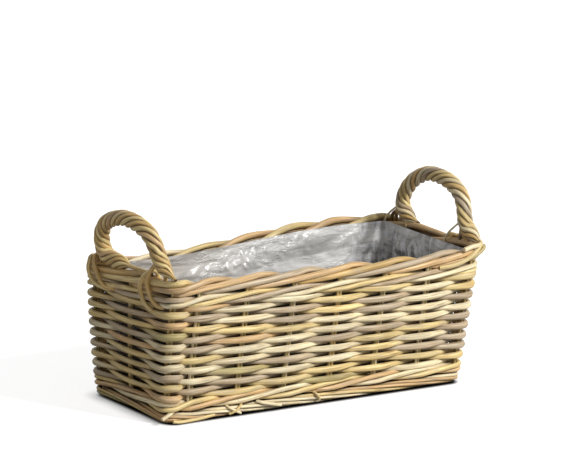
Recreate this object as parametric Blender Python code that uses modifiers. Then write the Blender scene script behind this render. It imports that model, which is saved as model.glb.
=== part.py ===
"""Long woven cane basket that covers plant pots, with two rope handles and a film liner.

X runs along the basket, Y from front to back and Z up. The floor is z = 0.
"""

import math

import bmesh
import bpy
from mathutils import Matrix, Vector

# Overall sizes in metres. The rim sizes are outside sizes.
RIM_LENGTH = 0.460
RIM_WIDTH = 0.200
END_INSET = 0.0065
SIDE_INSET = 0.0200

# Upright canes, which stand in pairs
STAKE_DIAMETER = 0.0036
STAKE_SPREAD = 0.0030
SIDE_STAKES = 6

# From the outermost stakes of a long side to where the corners' bends begin, at the foot
LEFT_INTERVAL = 0.0208
RIGHT_INTERVAL = 0.0560

# Woven rows of the wall
WEAVER_HEIGHT = 0.0059
WEAVER_THICKNESS = 0.0056
ROW_COUNT = 18

# Three-rod bands below and above the rows
WALE_DIAMETER = 0.0056
WALE_RISE = 0.0072
WALE_BACK_RISE = 0.0042

# Twisted pair of rods that makes the rim
BORDER_ROD = 0.0090
BORDER_SWING_OUT = 0.0046
BORDER_SWING_UP = 0.0066

# Foot ring that the basket stands on
FOOT_HEIGHT = 0.0135
FOOT_WIDTH = 0.0150
FOOT_SWAY = 0.0008

# Base weaver, one cane that runs to and fro over the ribs
BASE_CANE = 0.0050
BASE_PITCH = 0.0064
BASE_MARGIN = 0.0125

# Film liner
LINER_WALL = 0.0010
LINER_CORNER = 0.012
LINER_DROP = 0.016

# Rope handles
ROPE_DIAMETER = 0.0175
ROPE_STRANDS = 5
ROPE_GROOVE = 0.0016
ROPE_TURNS = 3.0
CORE_DIAMETER = 0.0060
HANDLE_INSET = 0.039
HANDLE_SHOULDER = 0.018
FOOT_SPREAD = 0.005
SEAT_DEPTH = 0.0045
SEAT_SIDES = 12
NEAR_RISE = 0.060
FAR_RISE = 0.071
NEAR_LEAN = 0.015
FAR_LEAN = 0.003

# Lashings that tie the handles over the rim
LASH_CANE = 0.0044
LASH_SPREAD = 0.0040
LASH_TAIL = 0.030
LASH_INSET = 0.017
LASH_SLANT = math.radians(14)
HOOK_SHARE = 1.04

# Clearances
WEAVE_CLEARANCE = 0.0007
ROW_GAP = 0.0004
SEAT_GAP = 0.0003
TIGHTEST_BEND = 0.0045
RIB_BEND = 0.0042

# Points closer than this are one point
WELD_DISTANCE = 0.00001

# A round cane has six sides and is flat at its top, at this share of its radius
FLAT_SHARE = math.cos(math.pi / 6)

# Share of a stake interval that each half of a rounded corner takes, and that a
# cane runs straight past a stake on the side of the nearest corner
CORNER_SHARE = 0.15
BESIDE_SHARE = 0.10

# How far inside the rounded line of stakes a corner's pair stands
CORNER_POST_INSET = 0.00045

WEAVE_OFFSET = STAKE_DIAMETER / 2 + WEAVE_CLEARANCE + WEAVER_THICKNESS / 2
WALE_OFFSET = STAKE_DIAMETER / 2 + WEAVE_CLEARANCE + WALE_DIAMETER / 2
CORNER_RADIUS = TIGHTEST_BEND + max(WEAVE_OFFSET, WALE_OFFSET, BORDER_SWING_OUT)
BORDER_HALF = BORDER_SWING_OUT + BORDER_ROD / 2
BORDER_HALF_HEIGHT = BORDER_SWING_UP + BORDER_ROD / 2 * FLAT_SHARE
WALE_HALF = WALE_DIAMETER / 2 * FLAT_SHARE

# Heights, stacked from the floor
RIB_Z = FOOT_HEIGHT + SEAT_GAP + STAKE_DIAMETER / 2
PAIR_HALF = (STAKE_DIAMETER + STAKE_SPREAD) / 2
FLOOR_HALF = RIM_LENGTH / 2 - BORDER_HALF - END_INSET
FIRST_STAKE_X = CORNER_RADIUS - FLOOR_HALF + LEFT_INTERVAL
STAKE_PITCH = (FLOOR_HALF - CORNER_RADIUS - RIGHT_INTERVAL - FIRST_STAKE_X) / (SIDE_STAKES - 1)
DROP_OVER_RIB = WALE_BACK_RISE * PAIR_HALF / (LEFT_INTERVAL / 2)
WALE_OVER_RIB = RIB_Z + STAKE_DIAMETER / 2 - WALE_BACK_RISE + DROP_OVER_RIB
LOW_WALE_Z = WALE_HALF + SEAT_GAP + max(FOOT_HEIGHT, WALE_OVER_RIB)
FIRST_ROW_Z = LOW_WALE_Z + WALE_RISE + WALE_HALF + SEAT_GAP + WEAVER_HEIGHT / 2
ROW_PITCH = WEAVER_HEIGHT + ROW_GAP
ROWS_TOP = FIRST_ROW_Z + (ROW_COUNT - 1) * ROW_PITCH + WEAVER_HEIGHT / 2
HIGH_WALE_Z = ROWS_TOP + SEAT_GAP + WALE_HALF
BORDER_Z = HIGH_WALE_Z + WALE_RISE + WALE_HALF + SEAT_GAP + BORDER_HALF_HEIGHT
RIM_Z = BORDER_Z + BORDER_HALF_HEIGHT
STAKE_TOP = BORDER_Z - BORDER_HALF_HEIGHT - SEAT_GAP
BASE_OFFSET = STAKE_DIAMETER / 2 + WEAVE_CLEARANCE + BASE_CANE / 2
LINER_FLOOR = RIB_Z + BASE_OFFSET + BASE_CANE / 2 + SEAT_GAP
LINER_TOP = RIM_Z - LINER_DROP

# Stake numbers of the four corners, front left first, counted to the right
RIGHT_CORNER = SIDE_STAKES + 1
CORNERS = (0, RIGHT_CORNER, RIGHT_CORNER + 2, 2 * RIGHT_CORNER + 2)
STAKE_COUNT = 2 * RIGHT_CORNER + 4

# Rope feet stand on the line of stakes at the rim. The origin is midway between the two ends' reach.
HANDLE_X = RIM_LENGTH / 2 - BORDER_HALF
HANDLE_HALF_WIDTH = RIM_WIDTH / 2 - HANDLE_INSET
LASH_PLACE = HANDLE_HALF_WIDTH - LASH_INSET
NEAR_REACH = HANDLE_X + NEAR_LEAN + ROPE_DIAMETER / 2
FAR_REACH = HANDLE_X + BORDER_HALF + SEAT_GAP + LASH_CANE
CENTRE_SHIFT = (NEAR_REACH - FAR_REACH) / 2

STRAW = (0.60, 0.47, 0.25)
CREAM = (0.78, 0.68, 0.46)
TAUPE = (0.42, 0.35, 0.27)
TAN = (0.58, 0.36, 0.16)
OLIVE = (0.38, 0.34, 0.16)
GOLDEN = (0.52, 0.37, 0.16)
FILM = (0.42, 0.42, 0.45)
ROW_COLOURS = (CREAM, STRAW, TAUPE, STRAW, TAN, CREAM, TAUPE)


def clear_scene():
    for old in list(bpy.data.objects):
        bpy.data.objects.remove(old, do_unlink=True)


def make_collection(name):
    collection = bpy.data.collections.new(name)
    bpy.context.scene.collection.children.link(collection)
    return collection


def finish(piece, colour, roughness=0.6):
    """Gives a piece its own material and round shading."""
    material = bpy.data.materials.new(piece.name + "_finish")
    material.use_nodes = True
    shader = material.node_tree.nodes["Principled BSDF"]
    shader.inputs["Base Color"].default_value = (*colour, 1.0)
    shader.inputs["Roughness"].default_value = roughness
    shader.inputs["Metallic"].default_value = 0.0
    piece.data.materials.clear()
    piece.data.materials.append(material)
    if piece.type == "MESH":
        piece.data.shade_smooth()
        piece.data.set_sharp_from_angle(angle=math.radians(40))


def add_object(name, data, collection):
    piece = bpy.data.objects.new(name, data)
    collection.objects.link(piece)
    return piece


def poly_curve(name, points, dimensions, cyclic, tilts=None):
    """A POLY curve through the points, with filled ends where it is open."""
    curve = bpy.data.curves.new(name, "CURVE")
    curve.dimensions = dimensions
    curve.fill_mode = "FULL" if dimensions == "3D" else "NONE"
    curve.use_fill_caps = not cyclic
    if dimensions == "3D":
        curve.twist_mode = "Z_UP" if cyclic else "MINIMUM"
    spline = curve.splines.new("POLY")
    spline.points.add(len(points) - 1)
    for number, point in enumerate(points):
        spline.points[number].co = (*Vector(point).to_3d(), 1.0)
        if tilts:
            spline.points[number].tilt = tilts[number]
    spline.use_cyclic_u = cyclic
    return curve


def round_tube(name, points, diameter, collection, cyclic=False):
    curve = poly_curve(name, points, "3D", cyclic)
    curve.bevel_depth = diameter / 2
    curve.bevel_resolution = 1
    return add_object(name, curve, collection)


def section_outline(name, points, guides):
    """A closed cross-section, drawn clockwise, that other curves follow."""
    outline = poly_curve(name, points, "2D", True)
    section = add_object(name, outline, guides)
    section.hide_render = True
    section.display_type = "WIRE"
    return section


def swept(name, points, section, collection, dimensions="2D", cyclic=False, tilts=None):
    curve = poly_curve(name, points, dimensions, cyclic, tilts)
    curve.bevel_mode = "OBJECT"
    curve.bevel_object = section
    return add_object(name, curve, collection)


def as_mesh(piece):
    """Turns a curve piece into a welded mesh piece with the same name and flat faces."""
    bpy.context.view_layer.update()
    graph = bpy.context.evaluated_depsgraph_get()
    mesh = bpy.data.meshes.new_from_object(piece.evaluated_get(graph))
    name = piece.name
    collection = piece.users_collection[0]
    place = piece.matrix_world.copy()
    bpy.data.objects.remove(piece, do_unlink=True)
    welded = add_object(name, mesh, collection)
    welded.matrix_world = place
    weld = welded.modifiers.new("weld", "WELD")
    weld.merge_threshold = WELD_DISTANCE
    welded.modifiers.new("flat_faces", "TRIANGULATE")
    return welded


def cut(piece, cutter):
    """Takes the cutter's shape out of a mesh piece."""
    cutter.hide_render = True
    cutter.display_type = "WIRE"
    boolean = piece.modifiers.new("cut_" + cutter.name, "BOOLEAN")
    boolean.operation = "DIFFERENCE"
    boolean.solver = "EXACT"
    boolean.object = cutter


def stake_line(z):
    """Half length and half width of the line of stakes at a height."""
    lean = 1 - z / RIM_Z
    half_length = RIM_LENGTH / 2 - BORDER_HALF - END_INSET * lean
    half_width = RIM_WIDTH / 2 - BORDER_HALF - SIDE_INSET * lean
    return half_length, half_width


def stake_x(number):
    """Where along the front the side stake of that number stands."""
    return FIRST_STAKE_X + STAKE_PITCH * (number - 1)


def stake_along(face, number):
    """Where along its own face, from left to right as seen from outside, a stake stands."""
    if face == 0:
        return stake_x(number)
    if face == 2:
        return -stake_x(SIDE_STAKES + 1 - number)
    return 0.0


def wall_point(z, lap, offset):
    """A point round the wall. A lap is a stake number, and an offset is outwards."""
    half_length, half_width = stake_line(z)
    lap = lap % STAKE_COUNT
    side = CORNER_SHARE
    for quarter, corner in enumerate(CORNERS):
        turn = (lap - corner + STAKE_COUNT / 2) % STAKE_COUNT - STAKE_COUNT / 2
        if abs(turn) <= side + WELD_DISTANCE:
            angle = math.radians(225 + 90 * quarter + 45 * turn / side)
            centre_x = (half_length - CORNER_RADIUS) * (1 if quarter in (1, 2) else -1)
            centre_y = (half_width - CORNER_RADIUS) * (1 if quarter in (2, 3) else -1)
            reach = CORNER_RADIUS + offset
            x = centre_x + reach * math.cos(angle)
            return Vector((x, centre_y + reach * math.sin(angle), z))
    face = sum(lap > corner for corner in CORNERS) - 1
    start = CORNERS[face]
    count = SIDE_STAKES if face % 2 == 0 else 1
    run, away = (half_length, half_width) if face % 2 == 0 else (half_width, half_length)
    stops = [(side, CORNER_RADIUS - run)]
    for number in range(1, count + 1):
        stops.append((number, stake_along(face, number)))
    stops.append((count + 1 - side, run - CORNER_RADIUS))
    along = 0.0
    for low, high in zip(stops, stops[1:]):
        if low[0] <= lap - start <= high[0]:
            part = (lap - start - low[0]) / (high[0] - low[0])
            along = low[1] + part * (high[1] - low[1])
    turn = Matrix.Rotation(math.radians(90 * face), 3, "Z")
    return turn @ Vector((along, -away - offset, 0.0)) + Vector((0.0, 0.0, z))


def laps_at(number):
    """The laps of one stake: three round a corner, two beside one, or else one."""
    if number in CORNERS:
        return [number - CORNER_SHARE, number, number + CORNER_SHARE]
    after_corner = number - 1 in CORNERS
    before_corner = (number + 1) % STAKE_COUNT in CORNERS
    if after_corner and not before_corner:
        return [number - BESIDE_SHARE, number]
    if before_corner and not after_corner:
        return [number, number + BESIDE_SHARE]
    return [number]


def row_points(row):
    """A row passes outside every second stake, and the next row the others."""
    z = FIRST_ROW_Z + row * ROW_PITCH
    points = []
    for number in range(STAKE_COUNT):
        outside = 1 if (number + row) % 2 == 0 else -1
        points += [wall_point(z, lap, outside * WEAVE_OFFSET) for lap in laps_at(number)]
    return points


def wale_points(low_z, rod):
    """A rod passes in front of two stakes while it climbs, then behind the third."""
    high_z = low_z + WALE_RISE
    heights = (low_z, high_z, low_z + WALE_BACK_RISE)
    points = []
    for number in range(STAKE_COUNT):
        phase = (number - rod) % 3
        offset = -WALE_OFFSET if phase == 2 else WALE_OFFSET
        laps = laps_at(number)
        points += [wall_point(heights[phase], lap, offset) for lap in laps]
        if phase > 0:
            middle = (laps[-1] + laps_at((number + 1) % STAKE_COUNT)[0] % STAKE_COUNT) / 2
            if number == STAKE_COUNT - 1:
                middle = (number + STAKE_COUNT - CORNER_SHARE) / 2
            points.append(wall_point(high_z if phase == 1 else low_z, middle, 0.0))
    return points


def border_points(strand):
    """Two rods twist round each other, half a turn from stake to stake."""
    points = []
    for number in range(STAKE_COUNT):
        for lap in laps_at(number) + [number + 0.25, number + 0.5, number + 0.75]:
            turn = math.pi * (lap + strand)
            height = BORDER_Z + BORDER_SWING_UP * math.sin(turn)
            point = wall_point(BORDER_Z, lap, BORDER_SWING_OUT * math.cos(turn))
            points.append((point.x, point.y, height))
    return points


def foot_points():
    """The foot ring bows out a little between the stakes."""
    points = []
    for number in range(STAKE_COUNT):
        points += [wall_point(0.0, lap, 0.0) for lap in laps_at(number)]
        points.append(wall_point(0.0, number + 0.5, FOOT_SWAY))
    return points


def pair_outline(diameter, spread):
    """Section of two touching canes side by side along Y, drawn clockwise."""
    radius = diameter / 2
    points = []
    for side in (1, -1):
        for degrees in (150, 90, 30) if side > 0 else (-30, -90, -150):
            angle = math.radians(degrees)
            points.append((radius * math.cos(angle), side * spread / 2 + radius * math.sin(angle)))
        waist = math.sqrt(max(radius**2 - (spread / 2) ** 2, (radius / 3) ** 2))
        points.append((side * waist, 0.0))
    return points


def make_rows(parts, guides):
    half, top = WEAVER_THICKNESS / 2, WEAVER_HEIGHT / 2
    outline = [(-half, 0), (-half / 2, top), (half / 2, top)]
    outline += [(half, 0), (half / 2, -top), (-half / 2, -top)]
    section = section_outline("weaver_section", outline, guides)
    for row in range(ROW_COUNT):
        points = row_points(row)
        name = "woven_row_%02d" % (row + 1)
        ring = swept(name, [point.to_2d() for point in points], section, parts, cyclic=True)
        ring.location.z = points[0].z
        finish(ring, ROW_COLOURS[row % len(ROW_COLOURS)])


def make_wales(parts):
    for place, low_z in (("bottom", LOW_WALE_Z), ("top", HIGH_WALE_Z)):
        for rod in range(3):
            name = "%s_wale_rod_%d" % (place, rod + 1)
            points = wale_points(low_z, rod)
            ring = round_tube(name, points, WALE_DIAMETER, parts, cyclic=True)
            finish(ring, (STRAW, CREAM, OLIVE)[rod])


def make_border(parts):
    for strand in range(2):
        name = "border_rod_%d" % (strand + 1)
        ring = round_tube(name, border_points(strand), BORDER_ROD, parts, cyclic=True)
        finish(ring, (TAN, STRAW)[strand])


def make_foot(parts, guides):
    half, top = FOOT_WIDTH / 2, FOOT_HEIGHT / 2
    outline = [(-half, 0), (-half / 2, top), (half / 2, top)]
    outline += [(half, 0), (half / 2, -top), (-half / 2, -top)]
    section = section_outline("foot_section", outline, guides)
    points = [point.to_2d() for point in foot_points()]
    ring = swept("foot_ring", points, section, parts, cyclic=True)
    ring.location.z = FOOT_HEIGHT / 2
    finish(ring, STRAW)


def make_ribs(parts, guides):
    """Each rib is a pair of canes: up the front, across the base and up the back."""
    section = section_outline("pair_section", pair_outline(STAKE_DIAMETER, STAKE_SPREAD), guides)
    top_y = stake_line(STAKE_TOP)[1]
    bend_y = stake_line(RIB_Z + RIB_BEND)[1]
    slant = RIB_BEND * (1 - math.cos(math.radians(45)))
    half = [(top_y, STAKE_TOP), (bend_y, RIB_Z + RIB_BEND)]
    half += [(bend_y - slant, RIB_Z + slant), (bend_y - RIB_BEND, RIB_Z)]
    path = [(-y, z) for y, z in half] + list(reversed(half))
    for number in range(1, SIDE_STAKES + 1):
        rib = swept("rib_pair_%d" % number, path, section, parts)
        rib.location.x = stake_x(number)
        rib.rotation_euler = (math.radians(90), 0, math.radians(90))
        finish(rib, OLIVE)


def make_post(name, lap, inset, parts):
    """A straight pair of canes that stands in the wall between foot and border."""
    low = wall_point(FOOT_HEIGHT + SEAT_GAP, lap, -inset)
    high = wall_point(STAKE_TOP, lap, -inset)
    outline = poly_curve(name, pair_outline(STAKE_DIAMETER, STAKE_SPREAD), "2D", True)
    outline.fill_mode = "BOTH"
    outline.extrude = (high - low).length / 2
    post = add_object(name, outline, parts)
    up = (high - low).normalized()
    outwards = wall_point(STAKE_TOP, lap, 0.01) - high
    across = up.cross(outwards).normalized()
    facing = Matrix((across.cross(up), across, up)).transposed()
    post.matrix_world = Matrix.Translation((low + high) / 2) @ facing.to_4x4()
    finish(post, OLIVE)


def make_posts(parts):
    names = ("front_left", "front_right", "back_right", "back_left")
    for name, corner in zip(names, CORNERS):
        make_post("corner_post_" + name, corner, CORNER_POST_INSET, parts)
    make_post("end_stake_right", RIGHT_CORNER + 1, 0.0, parts)
    make_post("end_stake_left", STAKE_COUNT - 1, 0.0, parts)


def make_base_weaver(parts):
    """One cane crosses over and under the ribs, turns at each end and comes back."""
    half_length, half_width = stake_line(RIB_Z)
    end_x = half_length - BASE_MARGIN
    edge_y = half_width - BASE_MARGIN
    passes = int(round(2 * edge_y / BASE_PITCH)) + 1
    step = 2 * edge_y / (passes - 1)
    points = []
    for number in range(passes):
        y = -edge_y + number * step
        heading = 1 if number % 2 == 0 else -1
        ribs = range(1, SIDE_STAKES + 1)
        for rib in ribs if heading > 0 else reversed(ribs):
            over = 1 if (rib + number) % 2 == 0 else -1
            points.append((stake_x(rib), y, RIB_Z + over * BASE_OFFSET))
        if number < passes - 1:
            points.append((heading * end_x, y, RIB_Z))
            points.append((heading * (end_x + step / 2), y + step / 2, RIB_Z))
            points.append((heading * end_x, y + step, RIB_Z))
    points.insert(0, (-end_x, -edge_y, RIB_Z))
    last = -end_x if passes % 2 == 0 else end_x
    points.append((last, edge_y, RIB_Z))
    weaver = round_tube("base_weaver", points, BASE_CANE, parts)
    finish(weaver, STRAW)


def make_liner(parts):
    """An open film tray that stands on the base inside the walls."""
    bpy.ops.mesh.primitive_cube_add(size=2.0)
    liner = bpy.context.object
    liner.name = "film_liner"
    inset = BORDER_HALF + SEAT_GAP
    for vertex in liner.data.vertices:
        z = LINER_TOP if vertex.co.z > 0 else LINER_FLOOR
        half_length, half_width = stake_line(z)
        x = math.copysign(half_length - inset, vertex.co.x)
        vertex.co = (x, math.copysign(half_width - inset, vertex.co.y), z)
    bevel_weights = liner.data.attributes.new("bevel_weight_edge", "FLOAT", "EDGE")
    for edge in liner.data.edges:
        ends = [liner.data.vertices[corner].co.z for corner in edge.vertices]
        bevel_weights.data[edge.index].value = 1.0 if min(ends) < LINER_TOP - WELD_DISTANCE else 0.0
    for collection in liner.users_collection:
        collection.objects.unlink(liner)
    parts.objects.link(liner)
    liner.data.materials.clear()
    rounding = liner.modifiers.new("rounding", "BEVEL")
    rounding.limit_method = "WEIGHT"
    rounding.width = LINER_CORNER
    rounding.segments = 3
    hollow = bpy.data.meshes.new_from_object(
        liner.evaluated_get(bpy.context.evaluated_depsgraph_get())
    )
    liner.modifiers.clear()
    liner.data = hollow
    remove_top_face(liner)
    wall = liner.modifiers.new("wall", "SOLIDIFY")
    wall.thickness = LINER_WALL
    wall.offset = -1.0
    wall.use_even_offset = True
    finish(liner, FILM, roughness=0.25)


def remove_top_face(liner):
    shell = bmesh.new()
    shell.from_mesh(liner.data)
    top = [face for face in shell.faces if face.calc_center_median().z > LINER_TOP - WELD_DISTANCE]
    bmesh.ops.delete(shell, geom=top, context="FACES")
    shell.to_mesh(liner.data)
    shell.free()


def handle_path(rise, steps):
    """Centre line of a handle in its own plane: across, then up from the rim."""
    arch = rise - HANDLE_SHOULDER
    points = [(HANDLE_HALF_WIDTH + FOOT_SPREAD, -SEAT_DEPTH)]
    for step in range(1, 4):
        part = step / 4
        ease = (1 - part) ** 2
        height = -SEAT_DEPTH + part * (HANDLE_SHOULDER + SEAT_DEPTH)
        points.append((HANDLE_HALF_WIDTH + FOOT_SPREAD * ease, height))
    for step in range(steps + 1):
        angle = math.pi * step / steps
        across = HANDLE_HALF_WIDTH * math.cos(angle)
        points.append((across, HANDLE_SHOULDER + arch * math.sin(angle)))
    left = [(-across, height) for across, height in reversed(points[:4])]
    return points + left


def rope_outline():
    """Clockwise section of a rope with one ridge for each strand."""
    points = []
    for corner in range(2 * ROPE_STRANDS):
        radius = ROPE_DIAMETER / 2 - (ROPE_GROOVE if corner % 2 else 0.0)
        angle = -math.pi * corner / ROPE_STRANDS
        points.append((radius * math.cos(angle), radius * math.sin(angle)))
    return points


def make_seat(name, side, guides):
    """The room that one end of the border takes, which a handle's feet straddle."""
    spare = 1 / math.cos(math.pi / SEAT_SIDES)
    half_width = BORDER_HALF * spare + SEAT_GAP
    half_height = (BORDER_SWING_UP + BORDER_ROD / 2) * spare + SEAT_GAP
    outline = []
    for corner in range(SEAT_SIDES):
        angle = 2 * math.pi * corner / SEAT_SIDES
        outline.append((half_width * math.cos(angle), half_height * math.sin(angle)))
    room = poly_curve(name + "_seat", outline, "2D", True)
    room.fill_mode = "BOTH"
    room.extrude = HANDLE_HALF_WIDTH + FOOT_SPREAD + ROPE_DIAMETER
    seat = add_object(name + "_seat", room, guides)
    seat.location = (side * HANDLE_X, 0.0, BORDER_Z)
    seat.rotation_euler.x = math.radians(90)
    return as_mesh(seat)


def make_handle(name, side, rise, lean, parts, guides):
    """A rope of twisted canes round a straight-grained core, seated on the border."""
    section = section_outline(name + "_section", rope_outline(), guides)
    tip = math.atan2(lean, rise)
    place = Matrix.Translation((side * HANDLE_X, 0.0, RIM_Z))
    place = place @ Matrix.Rotation(side * tip, 4, "Y")

    def stand(points):
        return [place @ Vector((0.0, across, height)) for across, height in points]

    fine = stand(handle_path(rise, 32))
    tilts = [2 * math.pi * ROPE_TURNS * number / (len(fine) - 1) for number in range(len(fine))]
    rope = as_mesh(swept(name + "_rope", fine, section, parts, "3D", tilts=tilts))
    coarse = stand(handle_path(rise, 12))
    core = as_mesh(round_tube(name + "_core", coarse, CORE_DIAMETER, parts))
    bore_size = CORE_DIAMETER + 2 * SEAT_GAP
    start = coarse[0] + (coarse[0] - coarse[1]) / 2
    end = coarse[-1] + (coarse[-1] - coarse[-2]) / 2
    bore_points = [start] + coarse + [end]
    bore = as_mesh(round_tube(name + "_bore", bore_points, bore_size, guides))
    seat = make_seat(name, side, guides)
    cut(rope, seat)
    cut(rope, bore)
    cut(core, seat)
    finish(rope, GOLDEN)
    finish(core, TAN)


def lash_path():
    """Hook over the rim: short inside, long outside. Outwards first, then up."""
    half = LASH_CANE / 2 + SEAT_GAP
    across = BORDER_HALF + half
    slant_drop = (LASH_CANE + LASH_SPREAD) / 2 * math.sin(LASH_SLANT)
    above = (BORDER_HALF_HEIGHT + half + slant_drop) / math.cos(LASH_SLANT)
    hook = BORDER_Z - LINER_TOP - 2 * SEAT_GAP - slant_drop
    points = [(-across, -hook)]
    for degrees in range(180, -1, -30):
        angle = math.radians(degrees)
        out, up = across * math.cos(angle), above * math.sin(angle)
        points.append((HOOK_SHARE * out, HOOK_SHARE * up))
    points.append((across, -LASH_TAIL))
    return points


def make_lashings(parts, guides):
    """Pairs of canes tied over the rim beside each foot of a handle."""
    section = section_outline("lash_section", pair_outline(LASH_CANE, LASH_SPREAD), guides)
    for end, side in (("left", -1), ("right", 1)):
        for place, along in (("front", -1), ("back", 1)):
            lash = swept("lashing_%s_%s" % (end, place), lash_path(), section, parts)
            outwards = Vector((side, 0.0, 0.0))
            wall_slope = END_INSET / RIM_Z
            up = Vector((side * wall_slope, -along * math.tan(LASH_SLANT), 1.0)).normalized()
            along_rim = outwards.cross(up).normalized()
            up = along_rim.cross(outwards).normalized()
            facing = Matrix((outwards, up, along_rim)).transposed()
            spot = Vector((side * HANDLE_X, along * LASH_PLACE, BORDER_Z))
            lash.matrix_world = Matrix.Translation(spot) @ facing.to_4x4()
            finish(lash, GOLDEN)


def place_on_origin(parts, guides):
    """Moves everything so that the origin is midway between both ends' reach."""
    base = bpy.data.objects.new("basket_origin", None)
    parts.objects.link(base)
    base.location.x = CENTRE_SHIFT
    for piece in list(parts.objects) + list(guides.objects):
        if piece != base:
            piece.parent = base


def main():
    clear_scene()
    parts = make_collection("basket_planter")
    guides = make_collection("guides_and_cutters")
    make_foot(parts, guides)
    make_ribs(parts, guides)
    make_posts(parts)
    make_base_weaver(parts)
    make_wales(parts)
    make_rows(parts, guides)
    make_border(parts)
    make_liner(parts)
    make_handle("left_handle", -1, NEAR_RISE, NEAR_LEAN, parts, guides)
    make_handle("right_handle", 1, FAR_RISE, FAR_LEAN, parts, guides)
    make_lashings(parts, guides)
    place_on_origin(parts, guides)


main()
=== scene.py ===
import math

import bpy
import numpy as np
from mathutils import Matrix, Vector, noise


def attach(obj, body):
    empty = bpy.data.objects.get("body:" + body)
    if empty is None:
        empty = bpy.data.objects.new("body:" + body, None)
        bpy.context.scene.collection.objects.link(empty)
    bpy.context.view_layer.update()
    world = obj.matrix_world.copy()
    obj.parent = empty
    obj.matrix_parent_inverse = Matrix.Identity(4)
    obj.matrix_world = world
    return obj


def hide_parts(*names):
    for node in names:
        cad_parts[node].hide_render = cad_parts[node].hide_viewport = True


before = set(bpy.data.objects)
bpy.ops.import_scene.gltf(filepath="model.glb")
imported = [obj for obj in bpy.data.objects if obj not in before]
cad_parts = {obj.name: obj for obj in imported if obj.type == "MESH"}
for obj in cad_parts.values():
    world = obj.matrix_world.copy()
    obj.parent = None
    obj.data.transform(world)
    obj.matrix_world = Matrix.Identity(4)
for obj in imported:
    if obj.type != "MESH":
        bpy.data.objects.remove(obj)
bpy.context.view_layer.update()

print("frame loaded")

# the wall that every cane follows, in metres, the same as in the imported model
basket = {
    "centreShift": 0.004975, "rimTop": 0.173826,
    "lineLength": 0.2209, "lineWidth": 0.0909,
    "endLean": 0.0065, "sideLean": 0.02,
    "cornerRadius": 0.0098, "cornerShare": 0.15,
    "firstStakeX": -0.1838, "stakePitch": 0.06648,
    "sideStakes": 6, "corners": (0, 7, 9, 16), "stakes": 18,
    "halfRim": (0.225, 0.09),  # what the rim's twist and lift are measured against
    "riseX": 0.003,  # the real rim is a little twisted: right end up
    "riseXY": 0.005,  # and the back right corner higher still
    "backBow": 0.0055,  # the back rim sags on the left and rises on the right
    "cornerLift": 0.0072,  # the front right corner is drawn up
    "leftBulge": 0.0035,  # the left end bulges at half height
    "footArch": 0.004,  # and its foot arches up a little
}
dice = np.random.default_rng(7)


def lineSize(z):
    lean = 1 - z / basket["rimTop"]
    return (basket["lineLength"] - basket["endLean"] * lean,
            basket["lineWidth"] - basket["sideLean"] * lean)


def stakeX(number):
    return basket["firstStakeX"] + basket["stakePitch"] * (number - 1)


# a point round the wall: lap counts stakes from the front left corner, offset is outwards
def wallPoint(lap, offset, z):
    halfLength, halfWidth = lineSize(z)
    radius, share, count = basket["cornerRadius"], basket["cornerShare"], basket["stakes"]
    lap = lap % count
    for quarter, corner in enumerate(basket["corners"]):
        turn = (lap - corner + count / 2) % count - count / 2
        if abs(turn) <= share:
            angle = math.radians(225 + 90 * quarter + 45 * turn / share)
            x = (halfLength - radius) * (1 if quarter in (1, 2) else -1)
            y = (halfWidth - radius) * (1 if quarter in (2, 3) else -1)
            return (x + (radius + offset) * math.cos(angle),
                    y + (radius + offset) * math.sin(angle), z)
    face = sum(lap > corner for corner in basket["corners"]) - 1
    run, away, last = halfLength, halfWidth, basket["sideStakes"]
    first, final = stakeX(1), stakeX(last)
    if face == 2:
        first, final = -final, -first
    elif face % 2:
        run, away, last, first, final = halfWidth, halfLength, 1, 0, 0
    along = np.interp(lap - basket["corners"][face], (share, 1, last, last + 1 - share),
                      (radius - run, first, final, run - radius))
    out = away + offset
    return ((along, -out, z), (out, along, z), (-along, out, z), (-out, -along, z))[face]


# how far inside the line of stakes each of some points is
def wallDepth(points):
    halfLength, halfWidth = lineSize(points[:, 2])
    radius = basket["cornerRadius"]
    overX = abs(points[:, 0]) - (halfLength - radius)
    overY = abs(points[:, 1]) - (halfWidth - radius)
    outer = np.hypot(np.maximum(overX, 0), np.maximum(overY, 0))
    return radius - outer - np.minimum(np.maximum(overX, overY), 0)


# a smooth line through control rows of numbers, with steps parts between two of them
def smoothLine(rows, steps):
    rows = np.array(rows, float)
    before = np.vstack([2 * rows[0] - rows[1], rows, 2 * rows[-1] - rows[-2]])
    line = []
    for i in range(len(rows) - 1):
        a, b, c, d = before[i:i + 4]
        for t in np.arange(steps) / steps:
            line.append(0.5 * (2 * b + (c - a) * t + (2 * a - 5 * b + 4 * c - d) * t ** 2
                               + (3 * b - a - 3 * c + d) * t ** 3))
    line.append(rows[-1])
    return np.array(line)


def drift(place, seed):
    return noise.noise((place, seed * 7.31 + 0.5, seed * 1.7))


# the least share at 0, the whole at 1
def fromLeast(least, value):
    return least + (1 - least) * value


# colours are written as on a screen, and turned into the shader's own scale
def paint(code):
    values = [int(code[i:i + 2], 16) / 255 for i in (0, 2, 4)]
    return tuple(v / 12.92 if v <= 0.04045 else ((v + 0.055) / 1.055) ** 2.4 for v in values)


# the numbers that a mesh keeps in threes, one row for each point
def readRows(items, field):
    values = np.empty(len(items) * 3)
    items.foreach_get(field, values)
    return values.reshape(-1, 3)


def keepOnPoints(mesh, name, kind, field, values):
    mesh.attributes.new(name, kind, "POINT").data.foreach_set(field, np.ravel(values))


# short ways to build a material's nodes; a socket's id_data is the tree that it is in
def newFinish(name):
    finish = bpy.data.materials.new(name)
    finish.use_nodes = True
    return finish, finish.node_tree, finish.node_tree.nodes["Principled BSDF"]


def feed(socket, value):
    if isinstance(value, bpy.types.NodeSocket):
        socket.id_data.links.new(value, socket)
    else:
        socket.default_value = value


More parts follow.
